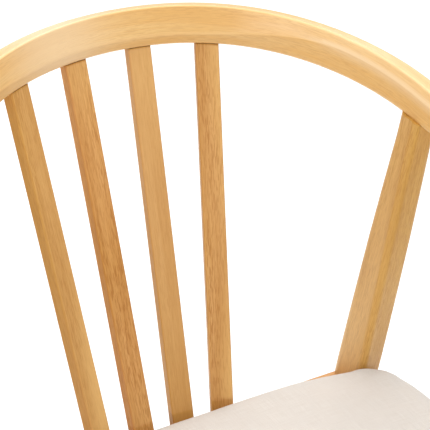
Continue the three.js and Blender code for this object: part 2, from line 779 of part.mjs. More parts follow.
const rearLegSpace = legBody(rearAxis, REAR_LEG.sections, GAP);
const rearRailBody = block(
  new THREE.Vector3(-FRAME.rearHalf, FRAME.rearFront, FRAME.top - FRAME.rearHigh),
  new THREE.Vector3(FRAME.rearHalf, FRAME.rearBack, FRAME.top),
);
const rearRail = cut(rearRailBody, bothSides([rearLegSpace])).add(crossTenon(rearTenonHalf, rearTenonY, 0));
addPiece('seat_rail_rear', cut(rearRail, [
  ...slats.map((slat) => slat.mortise), ...bothSides(blockScrewHoles),
]), material.wood);

const sideRail = cut(prism(sideOutline(0), sideLow, FRAME.top), [rearLegSpace]).add(sideTenon(0));
addPair('seat_rail', cut(sideRail, [
  crossTenon(frontTenonHalf, sideFrontRailY, GAP), ...blockScrewHoles, ...boltHoles,
]), material.wood);

const frontRailBody = prism([
  new THREE.Vector2(-sideInnerAt(FRAME.sideFrontY) + GAP, FRAME.sideFrontY),
  new THREE.Vector2(sideInnerAt(FRAME.sideFrontY) - GAP, FRAME.sideFrontY),
  new THREE.Vector2(sideInnerAt(frontFaceY) - GAP, frontFaceY),
  new THREE.Vector2(-sideInnerAt(frontFaceY) + GAP, frontFaceY),
], sideLow, FRAME.top);
const frontRail = frontRailBody.add(crossTenon(frontTenonHalf, sideFrontRailY, 0));
addPiece('seat_rail_front', cut(frontRail, bothSides(blockScrewHoles)), material.wood);

['rear', 'front'].forEach((place, i) => {
  const corner = cut(blocks[i].solid, [...blockScrewHoles, ...seatScrewHoles]);
  addPair(`corner_block_${place}`, corner, material.wood);
});
addSet('corner_block_screw', blockFasteners(pickBlockScrews, BLOCK_SCREW), material.steel);
addSet('seat_screw', blockFasteners(pickSeatScrew, SEAT_SCREW), material.steel);
addSet('leg_bolt', legBolts, material.steel);
addSet('insert_nut', insertNuts, material.steel);

const padHoles = bothSides(seatScrewHoles);
addPiece('seat_board', cut(boardShape, padHoles), material.plywood);
addPiece('seat_foam', foamShape, material.foam);
addPiece('seat_cover', cut(padOutside, [padInside, coverOpening, ...padHoles]), material.linen);
addPiece('dust_cover', cut(liningShape, padHoles), material.lining);

[['rear', rearAxis(0)], ['front', frontAxis(0)]].forEach(([place, foot]) => {
  const profile = [
    [0, 0], [GLIDE.radius, 0], [GLIDE.radius, GLIDE.high], [GLIDE.pinRadius, GLIDE.high],
    [GLIDE.pinRadius, GLIDE.pinLong], [0, GLIDE.pinLong],
  ];
  const glide = turned(profile, new THREE.Vector3(foot.x, foot.y, 0), UP, SIDES.tenon);
  addPair(`floor_glide_${place}`, glide, material.glide);
});

export default chair;
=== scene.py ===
import math
import random

import bpy
import numpy as np
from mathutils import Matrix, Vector
from mathutils.bvhtree import BVHTree


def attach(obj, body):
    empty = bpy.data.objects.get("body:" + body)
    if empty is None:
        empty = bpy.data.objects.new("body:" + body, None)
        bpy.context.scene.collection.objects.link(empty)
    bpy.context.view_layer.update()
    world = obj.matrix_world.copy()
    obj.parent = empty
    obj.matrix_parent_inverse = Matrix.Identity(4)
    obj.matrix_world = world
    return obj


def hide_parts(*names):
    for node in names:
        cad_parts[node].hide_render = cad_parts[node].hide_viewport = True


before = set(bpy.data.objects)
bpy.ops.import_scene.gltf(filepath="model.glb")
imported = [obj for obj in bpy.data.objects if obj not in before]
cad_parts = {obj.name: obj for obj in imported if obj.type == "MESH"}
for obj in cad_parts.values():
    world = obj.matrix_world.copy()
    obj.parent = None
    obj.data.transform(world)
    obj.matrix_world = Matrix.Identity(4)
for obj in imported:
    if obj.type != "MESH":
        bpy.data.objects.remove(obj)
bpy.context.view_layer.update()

SEED = 7
random.seed(SEED)

# ---------------------------------------------------------------- driving dimensions, in metres

GAP = 0.0003  # between touching pieces

# The bent rail's plan curve and section.
RAIL_BACK = (0.257, 0.7835)  # Y and Z of its centre line at the middle of the back
RAIL_SLOPE = 0.277
RAIL_BACK_REACH = 0.125
RAIL_POST = np.array((0.207, 0.099))
RAIL_POST_REACH = 0.077
RAIL_POST_FLARE = math.radians(10.5)
RAIL_ARM_REACH = 0.080
RAIL_ARM_END = np.array((0.264, -0.144))
RAIL_THICK = 0.0215
RAIL_HIGH = 0.032
RAIL_EDGE = 0.007
RAIL_LEAN = math.radians(15.6)
RAIL_LEAN_LOSS = math.radians(7 / 0.250)  # per metre along the rail
RAIL_END_ROUND = 0.009
RAIL_END_INSET = 0.006
ARM_JOINT = 0.062  # past the rear leg

# The ridge between the inner face's two facets: for the back, then for the arms.
RIDGE_TURN = (0.080, 0.215)
RIDGE_RISE = (-0.007, 0.006)
RIDGE_ROUND = (0.008, 0.0035)
RIDGE_TOP_INSET = (0.0022, 0.0034)
RIDGE_TOP_ROUND = (0.0018, 0.0028)
RIDGE_BOTTOM_INSET = (0.0036, 0.0005)
RIDGE_BOTTOM_ROUND = (0.0035, 0.005)

SLAT_WIDE = 0.0195
SLAT_DEEP = 0.0124
SLAT_EDGE = 0.002
SLAT_FOOT_X = (0.0187, 0.0567)
SLAT_ALONG_RAIL = (0.0297, 0.0892)
SLAT_FOOT_Y = 0.1583
SLAT_FOOT_Z = 0.430

FRAME_TOP = 0.441

# Each leg's sections: height, width, depth, edge radius, and its turn about the axis in degrees.
REAR_LEG_SEAT = Vector((0.2002, 0.1633, 0.448))
REAR_LEG_ALONG_RAIL = -0.0015
REAR_LEG_SECTIONS = [
    (0.003, 0.0220, 0.0220, 0.0050, 18),
    (0.250, 0.0275, 0.0275, 0.0060, 18),
    (0.400, 0.0308, 0.0308, 0.0060, 18),
    (0.460, 0.0312, 0.0312, 0.0060, 18),
    (0.530, 0.0298, 0.0298, 0.0060, 14),
    (0.600, 0.0281, 0.0281, 0.0060, 9),
    (0.670, 0.0254, 0.0254, 0.0060, 4),
    (0.740, 0.0224, 0.0224, 0.0060, 0),
]
FRONT_LEG_FOOT = Vector((0.217, -0.2684, 0))
FRONT_LEG_FROM_END = 0.044
FRONT_LEG_SECTIONS = [
    (0.003, 0.0220, 0.0220, 0.0050, 0),
    (0.250, 0.0275, 0.0275, 0.0060, 0),
    (0.400, 0.0310, 0.0310, 0.0060, 0),
    (0.450, 0.0310, 0.0310, 0.0060, 0),
    (0.690, 0.0225, 0.0235, 0.0060, 0),
]

# ---------------------------------------------------------------- camera and stage

CAMERA_AZIMUTH = math.radians(-29.727)
CAMERA_ELEVATION = math.radians(29.86)
CAMERA_DISTANCE = 1.400776
CAMERA_TARGET = Vector((0.001941, 0.076, 0.704157))
CAMERA_LENS = 155.65  # millimetres
CAMERA_SENSOR = 36

WORLD_STRENGTH = 0.66
FLOOR_HALF = 12
FLOOR_GREY = 0.97
FLOOR_GLOW = 0.08
# Each light: its place, what it points at, its size and its power in watts.
LIGHTS = {
    "overhead": ((0.1, 0.3, 2.8), (0, 0, 0.5), (2.6, 2.6), 50),
    "key": ((-1.6, -2.1, 1.9), (0, 0.1, 0.6), (1.4, 1.4), 19),
    "rim": ((1.35, 2.4, 2.2), (0, 0.1, 0.7), (2.2, 1.2), 22),
}


def add_camera():
    """The camera at the photograph's viewpoint."""
    data = bpy.data.cameras.new("camera")
    data.sensor_width = CAMERA_SENSOR
    data.lens = CAMERA_LENS
    camera = bpy.data.objects.new("camera", data)
    level = math.cos(CAMERA_ELEVATION)
    back = Vector((
        math.sin(CAMERA_AZIMUTH) * level,
        -math.cos(CAMERA_AZIMUTH) * level,
        math.sin(CAMERA_ELEVATION),
    ))
    camera.location = CAMERA_TARGET + CAMERA_DISTANCE * back
    camera.rotation_euler = back.to_track_quat("Z", "Y").to_euler()
    bpy.context.scene.collection.objects.link(camera)
    bpy.context.scene.camera = camera


def add_light(name, place, aim, size, power):
    """A soft rectangular studio light that points at a place and isn't seen itself."""
    data = bpy.data.lights.new(name, "AREA")
    data.shape = "RECTANGLE"
    data.size, data.size_y = size
    data.energy = power
    light = bpy.data.objects.new(name, data)
    light.location = place
    light.visible_camera = False
    direction = Vector(aim) - Vector(place)
    light.rotation_euler = direction.to_track_quat("-Z", "Y").to_euler()
    bpy.context.scene.collection.objects.link(light)


def add_stage():
    """A pale floor, a white world and soft lights."""
    world = bpy.data.worlds.new("studio")
    world.use_nodes = True
    background = world.node_tree.nodes["Background"]
    background.inputs["Color"].default_value = (1, 1, 1, 1)
    background.inputs["Strength"].default_value = WORLD_STRENGTH
    bpy.context.scene.world = world

    mesh = bpy.data.meshes.new("floor")
    corners = [(x * FLOOR_HALF, y * FLOOR_HALF, 0) for x, y in ((-1, -1), (1, -1), (1, 1), (-1, 1))]
    mesh.from_pydata(corners, [], [(0, 1, 2, 3)])
    floor = bpy.data.objects.new("floor", mesh)
    bpy.context.scene.collection.objects.link(floor)
    material = bpy.data.materials.new("floor")
    material.use_nodes = True
    shader = material.node_tree.nodes["Principled BSDF"]
    shader.inputs["Base Color"].default_value = (FLOOR_GREY, FLOOR_GREY, FLOOR_GREY, 1)
    shader.inputs["Roughness"].default_value = 0.9
    shader.inputs["Emission Color"].default_value = (1, 1, 1, 1)
    shader.inputs["Emission Strength"].default_value = FLOOR_GLOW
    mesh.materials.append(material)

    for name, (place, aim, size, power) in LIGHTS.items():
        add_light(name, place, aim, size, power)
    bpy.context.scene.view_settings.view_transform = "Standard"


# ---------------------------------------------------------------- materials

HONEY = (0.730, 0.405, 0.125, 1)
HONEY_PAINTED_SHADE = (0.640, 0.345, 0.135, 1)  # the seat frame, darker as painted shade
HONEY_DARK = (0.570, 0.275, 0.066, 1)
HONEY_PORE = (0.480, 0.208, 0.050, 1)
PALE = (0.780, 0.500, 0.196, 1)
PALE_DARK = (0.740, 0.410, 0.115, 1)
PALE_PORE = (0.520, 0.250, 0.070, 1)
PALE_WOOD_AND_PAINTED_LIGHT = (0.830, 0.612, 0.370, 1)  # where a piece's tone is above zero: paler wood, and painted light and painted highlight
SLAT_BLUSH = (0.840, 0.530, 0.200, 1)
DEEPEN = (0.880, 0.830, 0.620, 1)  # multiplies the colour down to a tone of minus one
JOINT_SHADE = (0.350, 0.260, 0.180, 1)  # multiplies it again down to minus three
MATT = {"Specular_IOR_Level": 0.08}
SATIN = {"Specular_IOR_Level": 0.22, "Coat_Weight": 0.05, "Coat_Roughness": 0.2}
GLOSSY = {"Specular_IOR_Level": 0.5, "Coat_Weight": 0.3, "Coat_Roughness": 0.16}

# The wood's noises, in cells per metre across, across and along the grain.
FIGURE_SCALE = (75, 75, 6)
STREAK_SCALE = (620, 620, 12)
FIBRE_SCALE = (1900, 1900, 45)
ZONE_SCALE = (110, 110, 9)  # where the pores are dense
PORE_SCALE = (1400, 1400, 110)
WOOD_BUMP = {"Strength": 0.16, "Distance": 0.0004}

THREAD_PITCH = 0.00085
WARP_SCALE = (1150, 45, 60)
WEFT_SCALE = (45, 1150, 60)
CLOUD_SCALE = (14, 14, 14)
LINEN_LOW = (0.600, 0.555, 0.508, 1)
LINEN_HIGH = (0.676, 0.642, 0.600, 1)
LINEN_SHADOW = (0.490, 0.435, 0.375, 1)
LINEN_CLOUD = (0.680, 0.605, 0.545, 1)


def node(tree, kind, inputs=None, **settings):
    """A new shader node with its settings, and its inputs as values or links."""
    made = tree.nodes.new("ShaderNode" + kind)
    for name, value in settings.items():
        setattr(made, name, value)
    for name, value in (inputs or {}).items():
        if isinstance(value, bpy.types.NodeSocket):
            tree.links.new(value, made.inputs[name])
        else:
            made.inputs[name].default_value = value
    return made


def new_material(name, **inputs):
    """A Principled material, its shader's inputs set on their own sockets, and its node tree."""
    material = bpy.data.materials.new(name)
    material.use_nodes = True
    shader = material.node_tree.nodes["Principled BSDF"]
    for key, value in inputs.items():
        shader.inputs[key.replace("_", " ")].default_value = value
    return material, material.node_tree, shader


def stretched_noise(tree, coordinates, scale, detail=2.0, roughness=0.5):
    """Noise whose cells are stretched: scale is per metre on each axis."""
    scaled = node(tree, "VectorMath", {0: coordinates, 1: scale}, operation="MULTIPLY")
    noise = node(tree, "TexNoise", {
        "Vector": scaled.outputs["Vector"], "Scale": 1.0, "Detail": detail, "Roughness": roughness,
    })
    return noise.outputs["Fac"]


def ramp(tree, value, low, high, to_low=0.0, to_high=1.0):
    """A value mapped smoothly from one range to another."""
    made = node(tree, "MapRange", {
        "Value": value, "From Min": low, "From Max": high, "To Min": to_low, "To Max": to_high,
    }, interpolation_type="SMOOTHSTEP")
    return made.outputs["Result"]


def blend(tree, factor, first, second, kind="MIX"):
    """Two colours mixed by a factor."""
    made = node(tree, "Mix", data_type="RGBA", blend_type=kind)
    for index, value in ((0, factor), (6, first), (7, second)):
        if isinstance(value, bpy.types.NodeSocket):
            tree.links.new(value, made.inputs[index])
        else:
            made.inputs[index].default_value = value
    return made.outputs[2]


def times(tree, first, second):
    """The product of two values."""
    return node(tree, "Math", {0: first, 1: second}, operation="MULTIPLY").outputs["Value"]


def add(tree, first, second):
    """The sum of two values."""
    return node(tree, "Math", {0: first, 1: second}, operation="ADD").outputs["Value"]


def wood_material(
    name, light, dark, pore, pores=0.5, streaks=0.5, figure=0.5, hair=0.16, along="X", attribute="grain",
    roughness=0.38, wear_and_sheen=0.22, blush=PALE_WOOD_AND_PAINTED_LIGHT, **inputs,
):
    """Lacquered hardwood: broad figure, fine streaks and short dark pores along the grain.

    Pieces give their own grain coordinates, with Z along the grain. Other nodes use their own, turned so that
    the grain runs along an axis.
    """
    material, tree, shader = new_material(name, **inputs)
    if attribute:
        grain = node(tree, "Attribute", attribute_name=attribute).outputs["Vector"]
    else:
        place = node(tree, "TexCoord").outputs["Object"]
        axes = node(tree, "SeparateXYZ", {0: place}).outputs
        order = {"X": "YZX", "Y": "ZXY"}[along]
        grain = node(tree, "CombineXYZ", {i: axes[axis] for i, axis in enumerate(order)}).outputs["Vector"]
    broad = stretched_noise(tree, grain, FIGURE_SCALE, 2.5)
    streak = stretched_noise(tree, grain, STREAK_SCALE, 3.0, 0.6)
    fibre = stretched_noise(tree, grain, FIBRE_SCALE, 2.0)
    zone = stretched_noise(tree, grain, ZONE_SCALE, 1.0)
    pore_noise = stretched_noise(tree, grain, PORE_SCALE, 1.5, 0.4)

    shade = ramp(tree, broad, 0.32, 0.68)
    colour = blend(tree, times(tree, shade, figure), light, dark)
    lines = ramp(tree, streak, 0.42, 0.72, 0.0, streaks)
    colour = blend(tree, lines, colour, dark)
    colour = blend(tree, ramp(tree, fibre, 0.35, 0.7, 0.0, hair), colour, pore)
    dash = times(tree, ramp(tree, pore_noise, 0.50, 0.60), ramp(tree, zone, 0.38, 0.62, 0.55, 1.0))
    colour = blend(tree, times(tree, dash, pores), colour, pore)
    if attribute:
        # Rounded edges are painted paler: partly wear, partly painted sheen where they would catch the light.
        edge = node(tree, "Attribute", attribute_name="edge").outputs["Fac"]
        pale = [min(1.0, 1.16 * channel + 0.02) for channel in light[:3]] + [1]
        colour = blend(tree, times(tree, edge, wear_and_sheen), colour, pale)
        # Tone above zero paints a paler colour and below zero a deeper one: wood that varies, painted light
        # and shade on facets, and painted shade in the joints.
        tone = node(tree, "Attribute", attribute_name="tone").outputs["Fac"]
        colour = blend(tree, ramp(tree, tone, 0.0, 1.0, 0.0, 0.75), colour, blush)
        colour = blend(tree, ramp(tree, tone, -1.0, 0.0, 1.0, 0.0), colour, DEEPEN, "MULTIPLY")
        colour = blend(tree, ramp(tree, tone, -3.0, -1.0, 0.85, 0.0), colour, JOINT_SHADE, "MULTIPLY")
    tree.links.new(colour, shader.inputs["Base Color"])

    gloss = ramp(tree, broad, 0.3, 0.7, roughness - 0.04, roughness + 0.05)
    tree.links.new(add(tree, gloss, times(tree, dash, 0.12)), shader.inputs["Roughness"])
    height = add(tree, times(tree, fibre, 0.35), times(tree, dash, -1.0))
    bump = node(tree, "Bump", {**WOOD_BUMP, "Height": height})
    tree.links.new(bump.outputs["Normal"], shader.inputs["Normal"])
    return material


def linen_material():
    """Cream plain-woven linen with uneven threads."""
    material, tree, shader = new_material(
        "linen", Roughness=0.92, Sheen_Weight=0.25, Sheen_Roughness=0.5, Specular_IOR_Level=0.2,
    )
    weave = node(tree, "Attribute", attribute_name="weave").outputs["Vector"]
    axes = node(tree, "SeparateXYZ", {0: weave})
    phases = []
    for axis in ("X", "Y"):
        turn = times(tree, axes.outputs[axis], math.pi / THREAD_PITCH)
        phases.append(node(tree, "Math", {0: turn}, operation="SINE").outputs["Value"])
    over = node(tree, "Math", {0: times(tree, *phases), 1: 0.0}, operation="GREATER_THAN").outputs["Value"]
    rounds = [node(tree, "Math", {0: phase}, operation="ABSOLUTE").outputs["Value"] for phase in phases]
    thread = node(tree, "Mix", {0: over, 2: rounds[0], 3: rounds[1]}, data_type="FLOAT").outputs[0]
    warp = stretched_noise(tree, weave, WARP_SCALE, 2.0)
    weft = stretched_noise(tree, weave, WEFT_SCALE, 2.0)
    slub = node(tree, "Mix", {0: over, 2: warp, 3: weft}, data_type="FLOAT").outputs[0]
    cloud = stretched_noise(tree, weave, CLOUD_SCALE, 2.0)

    colour = blend(tree, ramp(tree, slub, 0.3, 0.72), LINEN_LOW, LINEN_HIGH)
    colour = blend(tree, ramp(tree, thread, 0.0, 0.7, 0.45, 0.0), colour, LINEN_SHADOW)
    colour = blend(tree, ramp(tree, cloud, 0.35, 0.7, 0.0, 0.25), colour, LINEN_CLOUD)
    tree.links.new(colour, shader.inputs["Base Color"])
    bump = node(tree, "Bump", {"Strength": 0.35, "Distance": 0.0003, "Height": add(tree, thread, slub)})
    tree.links.new(bump.outputs["Normal"], shader.inputs["Normal"])
    return material


def speckled_material(name, base, spot, scale, **inputs):
    """A fine two-tone material for hidden pieces, such as metal, nylon and lining."""
    material, tree, shader = new_material(name, **inputs)
    place = node(tree, "TexCoord").outputs["Object"]
    noise = stretched_noise(tree, place, (scale, scale, scale), 4.0, 0.6)
    colour = blend(tree, ramp(tree, noise, 0.35, 0.65), base, spot)
    tree.links.new(colour, shader.inputs["Base Color"])
    rough = ramp(tree, noise, 0.3, 0.7, inputs["Roughness"] - 0.06, inputs["Roughness"] + 0.08)
    tree.links.new(rough, shader.inputs["Roughness"])
    bump = node(tree, "Bump", {"Strength": 0.15, "Distance": 0.0003, "Height": noise})
    tree.links.new(bump.outputs["Normal"], shader.inputs["Normal"])
    return material


# ---------------------------------------------------------------- meshes


def add_piece(name, points, faces, flat_from, grain, edge, tone, material, slot, nodes):
    """A piece that stands for CAD nodes. Faces from flat_from on are shaded flat."""
    mesh = bpy.data.meshes.new(name)
    mesh.from_pydata([tuple(point) for point in points], [], faces)
    smooth = np.ones(len(mesh.polygons), bool)
    smooth[flat_from:] = False
    mesh.polygons.foreach_set("use_smooth", smooth)
    offset = np.array([random.uniform(-1, 1) for _ in range(3)])
    attribute = mesh.attributes.new("grain", "FLOAT_VECTOR", "POINT")
    attribute.data.foreach_set("vector", (grain + offset).astype(np.float32).ravel())
    for word, values in (("edge", edge), ("tone", tone)):
        attribute = mesh.attributes.new(word, "FLOAT", "POINT")
        attribute.data.foreach_set("value", values.astype(np.float32))
    mesh.materials.append(material)
    piece = bpy.data.objects.new(name, mesh)
    bpy.context.scene.collection.objects.link(piece)
    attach(piece, "root")
    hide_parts(*nodes)
    return piece


def loft_faces(ring_count, point_count):
    """The quads of a tube through rings, then the triangles of its two flat ends."""
    faces = []
    for ring in range(ring_count - 1):
        for i in range(point_count):
            j = (i + 1) % point_count
            here, there = ring * point_count, (ring + 1) * point_count
            faces.append((here + i, here + j, there + j, there + i))
    sides = len(faces)
    last = (ring_count - 1) * point_count
    first_centre = ring_count * point_count
    for i in range(point_count):
        j = (i + 1) % point_count
        faces.append((first_centre, j, i))
        faces.append((first_centre + 1, last + i, last + j))
    return faces, sides


def signed_volume(points, faces):
    """Positive when the faces point outward."""
    total = 0.0
    for face in faces:
        a = points[face[0]]
        for b, c in zip(face[1:-1], face[2:]):
            total += np.dot(a, np.cross(points[b], points[c]))
    return total


def loft_piece(name, rings, grain, edge, tone, material, slot, nodes):
    """A closed piece through rings of points, with flat ends.

    Each point has its grain coordinates, how much it is on an edge, and its tone.
    """
    ring_count, point_count = rings.shape[:2]
    points = np.vstack([rings.reshape(-1, 3), rings[0].mean(0), rings[-1].mean(0)])
    grain = np.vstack([grain.reshape(-1, 3), grain[0].mean(0), grain[-1].mean(0)])
    edge, tone = (np.concatenate([values.ravel(), values[0, :1], values[-1, :1]]) for values in (edge, tone))
    faces, sides = loft_faces(ring_count, point_count)
    if signed_volume(points, faces) < 0:
        faces = [face[::-1] for face in faces]
    return add_piece(name, points, faces, sides, grain, edge, tone, material, slot, nodes)


def rounded_polygon(corners, steps=6, support=0.0005):
    """Points anticlockwise round a convex polygon with rounded corners, and how much each is on a corner.

    Each straight side has a supporting point close to both its ends, so that it shades flat.
    """
    count = len(corners)
    arcs = []
    for i, (x, y, radius) in enumerate(corners):
        here = np.array((x, y))
        before = np.array(corners[i - 1][:2]) - here
        after = np.array(corners[(i + 1) % count][:2]) - here
        before /= np.linalg.norm(before)
        after /= np.linalg.norm(after)
        half = math.acos(np.clip(before @ after, -1, 1)) / 2
        inward = before + after
        centre = here + inward / np.linalg.norm(inward) * radius / math.sin(half)
        first = math.atan2(before[1], before[0]) + math.pi / 2
        angles = first + np.linspace(0, 1, steps + 1) * (math.pi - 2 * half)
        arcs.append(centre + radius * np.column_stack([np.cos(angles), np.sin(angles)]))
    points, edge = [], []
    for i, arc in enumerate(arcs):
        points.extend(arc)
        weight = np.sin(np.linspace(0, math.pi, steps + 1))
        edge.extend(weight)
        start, end = arc[-1], arcs[(i + 1) % count][0]
        share = min(support / max(np.linalg.norm(end - start), 1e-9), 0.3)
        for t in (share, 0.5, 1 - share):
            points.append(start + (end - start) * t)
            edge.append(0.0)
    return np.array(points), np.array(edge)


def rounded_rectangle(wide, deep, radius, steps=6):
    """A rounded rectangle centred on the origin."""
    corners = [(1, 1), (-1, 1), (-1, -1), (1, -1)]
    return rounded_polygon([(x * wide / 2, y * deep / 2, radius) for x, y in corners], steps)


# ---------------------------------------------------------------- the bent rail


def bezier(start, near, far, end, count=600):
    """Points on a cubic curve."""
    t = np.linspace(0, 1, count)[:, None]
    return (
        (1 - t) ** 3 * np.array(start) + 3 * (1 - t) ** 2 * t * np.array(near)
        + 3 * (1 - t) * t ** 2 * np.array(far) + t ** 3 * np.array(end)
    )


flare = np.array((math.sin(RAIL_POST_FLARE), -math.cos(RAIL_POST_FLARE)))
back_curve = bezier(
    (0, RAIL_BACK[0]), (RAIL_BACK_REACH, RAIL_BACK[0]), RAIL_POST - RAIL_POST_REACH * flare, RAIL_POST,
)
arm_curve = bezier(
    RAIL_POST, RAIL_POST + RAIL_ARM_REACH * flare, RAIL_ARM_END + (0, RAIL_ARM_REACH), RAIL_ARM_END,
)
rail_curve = np.vstack([back_curve, arm_curve[1:]])
rail_lengths = np.concatenate([[0], np.cumsum(np.linalg.norm(np.diff(rail_curve, axis=0), axis=1))])
POST_STATION = rail_lengths[len(back_curve) - 1]
RAIL_END = rail_lengths[-1]
JOINT_STATION = POST_STATION + ARM_JOINT


def rail_plan(distance):
    """The rail's centre line in plan at a distance from the middle of the back."""
    return np.array([np.interp(distance, rail_lengths, rail_curve[:, axis]) for axis in (0, 1)])


def rail_at(station):
    """The rail's centre, its direction, its outward normal and its lean at a station."""
    side = -1 if station < 0 else 1
    distance = abs(station)
    plan = rail_plan(distance)
    along = rail_plan(min(distance + 0.001, RAIL_END)) - rail_plan(max(distance - 0.001, 0))
    along /= np.linalg.norm(along)
    centre = np.array((side * plan[0], plan[1], RAIL_BACK[1] + RAIL_SLOPE * (plan[1] - RAIL_BACK[0])))
    direction = np.array((side * along[0], along[1], RAIL_SLOPE * along[1]))
    outward = np.array((-side * along[1], along[0], 0))
    return centre, direction / np.linalg.norm(direction), outward, RAIL_LEAN - RAIL_LEAN_LOSS * distance


def rail_points(station, section):
    """Points of a section, outward and up before it leans, in their place on the rail."""
    centre, _, outward, lean = rail_at(station)
    out = section[:, 0] * math.cos(lean) + section[:, 1] * math.sin(lean)
    up = section[:, 1] * math.cos(lean) - section[:, 0] * math.sin(lean)
    return centre + out[:, None] * outward + up[:, None] * np.array((0, 0, 1))


def rail_underside(station):
    """The middle of the rail's underside at a station."""
    return Vector(rail_points(station, np.array([(0, -RAIL_HIGH / 2)]))[0])


def rail_section(station):
    """The rail's section at a station."""
    low, high = RIDGE_TURN
    t = min(max((abs(station) - low) / (high - low), 0), 1)
    turn = t * t * (3 - 2 * t)
    outer, top = RAIL_THICK / 2, RAIL_HIGH / 2

    def at(pair):
        return pair[0] + (pair[1] - pair[0]) * turn

    return rounded_polygon([
        (outer, top, RAIL_EDGE),
        (-outer + at(RIDGE_TOP_INSET), top, at(RIDGE_TOP_ROUND)),
        (-outer, at(RIDGE_RISE), at(RIDGE_ROUND)),
        (-outer + at(RIDGE_BOTTOM_INSET), -top, at(RIDGE_BOTTOM_ROUND)),
        (outer, -top, RAIL_EDGE),
    ])


RAIL_BLUSH = 0.80  # a paler stretch of the back rail
RAIL_BLUSH_AT = -0.048
RAIL_BLUSH_REACH = 0.055
RAIL_ARM_PAINTED_LIGHT = 0.4  # painted light: the arms' upper facet, which faces up, is painted paler
RAIL_ARM_PAINTED_LIGHT_TURN = (0.140, 0.210)
RIDGE_PAINTED_HIGHLIGHT = 0.75  # a painted highlight along the ridge, between the slats and the rear leg
RIDGE_PAINTED_HIGHLIGHT_TURN = (0.110, 0.160, 0.300, 0.360)
RIDGE_PAINTED_HIGHLIGHT_REACH = 0.0026
JOINT_BEVEL = 0.0004


def rail_piece(name, stations, inset, material, nodes):
    """A length of the rail through stations. Inset draws the section in near its ends."""
    rings, grain, edges, tones = [], [], [], []
    for station in stations:
        section, edge = rail_section(station)
        margin = 2 * inset(station)
        squeezed = section * (1 - margin / RAIL_THICK, 1 - margin / RAIL_HIGH)
        rings.append(rail_points(station, squeezed))
        grain.append(np.column_stack([section, np.full(len(section), station)]))
        edges.append(edge)
        paler = RAIL_BLUSH * math.exp(-((station - RAIL_BLUSH_AT) / RAIL_BLUSH_REACH) ** 2)
        # Painted light on the arms' upward-facing facet.
        arm_painted_light = RAIL_ARM_PAINTED_LIGHT * np.interp(abs(station), RAIL_ARM_PAINTED_LIGHT_TURN, (0, 1))
        # Painted highlight along the ridge.
        from_ridge = np.hypot(section[:, 0] + RAIL_THICK / 2, section[:, 1] - RIDGE_RISE[1])
        shine = np.interp(abs(station), RIDGE_PAINTED_HIGHLIGHT_TURN, (0, RIDGE_PAINTED_HIGHLIGHT, RIDGE_PAINTED_HIGHLIGHT, 0))
        ridge_highlight = shine * np.exp(-(from_ridge / RIDGE_PAINTED_HIGHLIGHT_REACH) ** 2)
        tones.append(paler + np.where(section[:, 1] > RIDGE_RISE[1], arm_painted_light, 0) + ridge_highlight)
    arrays = (np.array(values) for values in (rings, grain, edges, tones))
    return loft_piece(name, *arrays, material, "rail_wood", nodes)


def joint_inset(station):
    """The small bevel round the glued joint of rail and arm."""
    return max(0, JOINT_BEVEL - abs(abs(station) - JOINT_STATION - GAP / 2) + GAP / 2)


def arm_inset(station):
    """The bevel at the arm's joint and the rounding of its end."""
    past = abs(station) - (RAIL_END - RAIL_END_ROUND)
    if past <= 0:
        return joint_inset(station)
    left = min(past / RAIL_END_ROUND, 1)
    return RAIL_END_INSET * (1 - math.sqrt(1 - left * left))


def joint_steps(start):
    """Stations close to a joint, for its bevel."""
    return [start, start + JOINT_BEVEL / 2, start + JOINT_BEVEL, start + 4 * JOINT_BEVEL]


rail_wood = wood_material(
    "rail_wood", PALE, PALE_DARK, PALE_PORE, pores=0.3, streaks=0.55, figure=0.8, hair=0.2, roughness=0.34,
    wear_and_sheen=0.45, **GLOSSY,
)
before_joint = sorted(2 * JOINT_STATION - station for station in joint_steps(JOINT_STATION))
half_stations = np.concatenate([np.linspace(0, JOINT_STATION - 0.003, 110), before_joint])
back_stations = np.concatenate([-half_stations[:0:-1], half_stations])
back_rail = rail_piece("bent_back_rail", back_stations, joint_inset, rail_wood, ["back_rail"])

end_angles = np.linspace(0, math.pi / 2, 12)[1:]
arm_stations = np.concatenate([
    joint_steps(JOINT_STATION + GAP),
    np.linspace(JOINT_STATION + 0.004, RAIL_END - RAIL_END_ROUND, 60),
    RAIL_END - RAIL_END_ROUND + RAIL_END_ROUND * np.sin(end_angles),
])
arms = [
    rail_piece("arm_rest_right", arm_stations, arm_inset, rail_wood, ["arm_right"]),
    rail_piece("arm_rest_left", -arm_stations, arm_inset, rail_wood, ["arm_left"]),
]


def tree_of(*pieces):
    """A ray-casting tree of several pieces' surfaces."""
    vertices, polygons = [], []
    for piece in pieces:
        start = len(vertices)
        vertices.extend(vertex.co.copy() for vertex in piece.data.vertices)
        polygons.extend([start + i for i in polygon.vertices] for polygon in piece.data.polygons)
    return BVHTree.FromPolygons(vertices, polygons)


rail_surface = tree_of(back_rail, *arms)

# ---------------------------------------------------------------- slats and legs

BESIDE_RAIL = 0.006  # a reach that differs more than this has missed the rail's underside

# Tones: above zero is paler and below zero is deeper. Slats' and legs' tones are given at these heights.
SLAT_TONE_HEIGHTS = (0.46, 0.60, 0.75)
# Painted shade: the slats' side faces are darker.
SLAT_SIDE_PAINTED_SHADE = -0.40
SLAT_TOP_SHADE = -2.0
SLAT_CROSS_TONES = (0.1, 0.8)  # how much paler a slat's right edge is than its left
SLAT_FOOT_HEIGHTS = (0.4612, 0.4632)  # the foot is darker behind the cushion
SLAT_FOOT_SHADE = -0.9
LEG_TONE_HEIGHTS = (0.46, 0.72)
